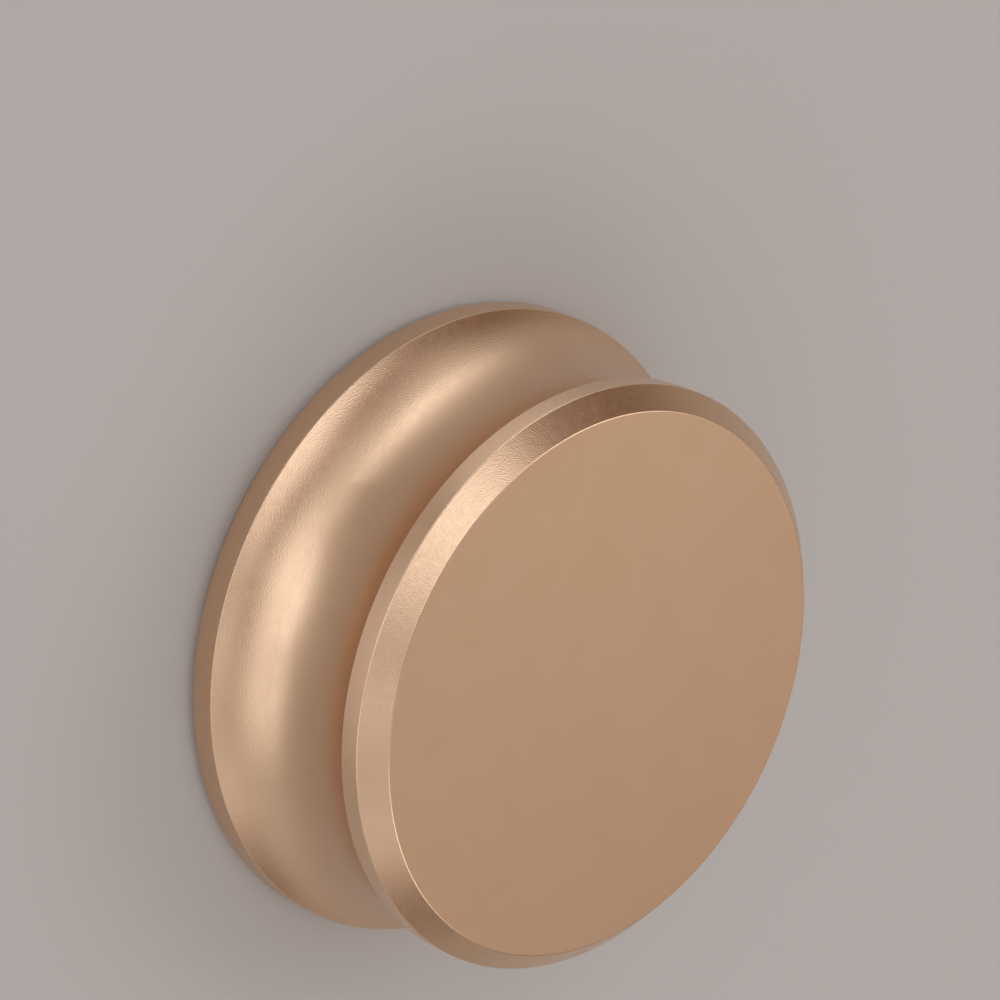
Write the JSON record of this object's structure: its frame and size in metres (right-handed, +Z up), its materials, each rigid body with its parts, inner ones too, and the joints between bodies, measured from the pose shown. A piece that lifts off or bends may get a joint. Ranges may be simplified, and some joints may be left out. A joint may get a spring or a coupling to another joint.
{
  "type": "record weight clamp",
  "caption": "Spool-shaped turned aluminium record weight with a chamfered flat top, a round finger groove between two straight rims and a blind spindle bore in its underside.",
  "frame": {"origin": "centre of the flat underside, where the spindle axis leaves the bore's mouth", "axes": "+Z up along the spindle axis, from the underside to the top face; X and Y lie in the underside"},
  "size_m": [0.076, 0.076, 0.028],
  "materials": {
    "gold_anodised_aluminium": "bead-blasted and gold anodised, satin"
  },
  "bodies": {
    "root": {"weight_body": "gold_anodised_aluminium"}
  },
  "joints": []
}
